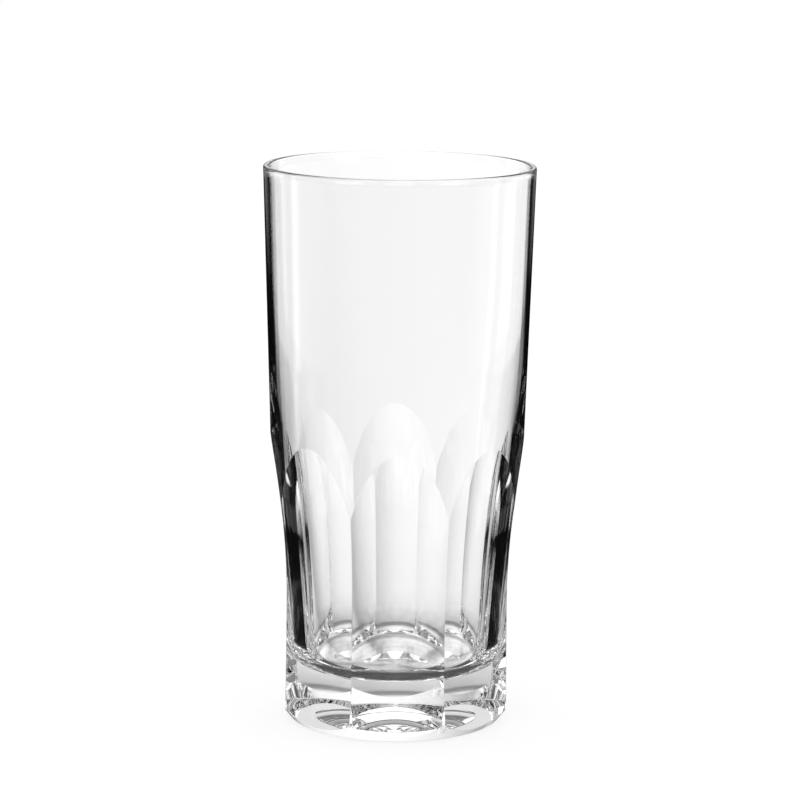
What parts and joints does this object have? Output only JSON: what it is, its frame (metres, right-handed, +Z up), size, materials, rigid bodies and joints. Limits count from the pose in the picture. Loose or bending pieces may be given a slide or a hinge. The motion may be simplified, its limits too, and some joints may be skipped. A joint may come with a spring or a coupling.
{
  "type": "highball glass",
  "caption": "Tall tapering drinking glass in clear glass with a thin round lip, flat ground panels that end in round arches, and a thick solid base.",
  "frame": {"origin": "centre of the foot, on the plane of the table", "axes": "+Z up the axis of the glass, X and Y through the middles of facing panels"},
  "size_m": [0.072, 0.072, 0.149],
  "materials": {
    "glass": "clear, polished"
  },
  "bodies": {
    "root": {"tumbler": "glass"}
  },
  "joints": []
}
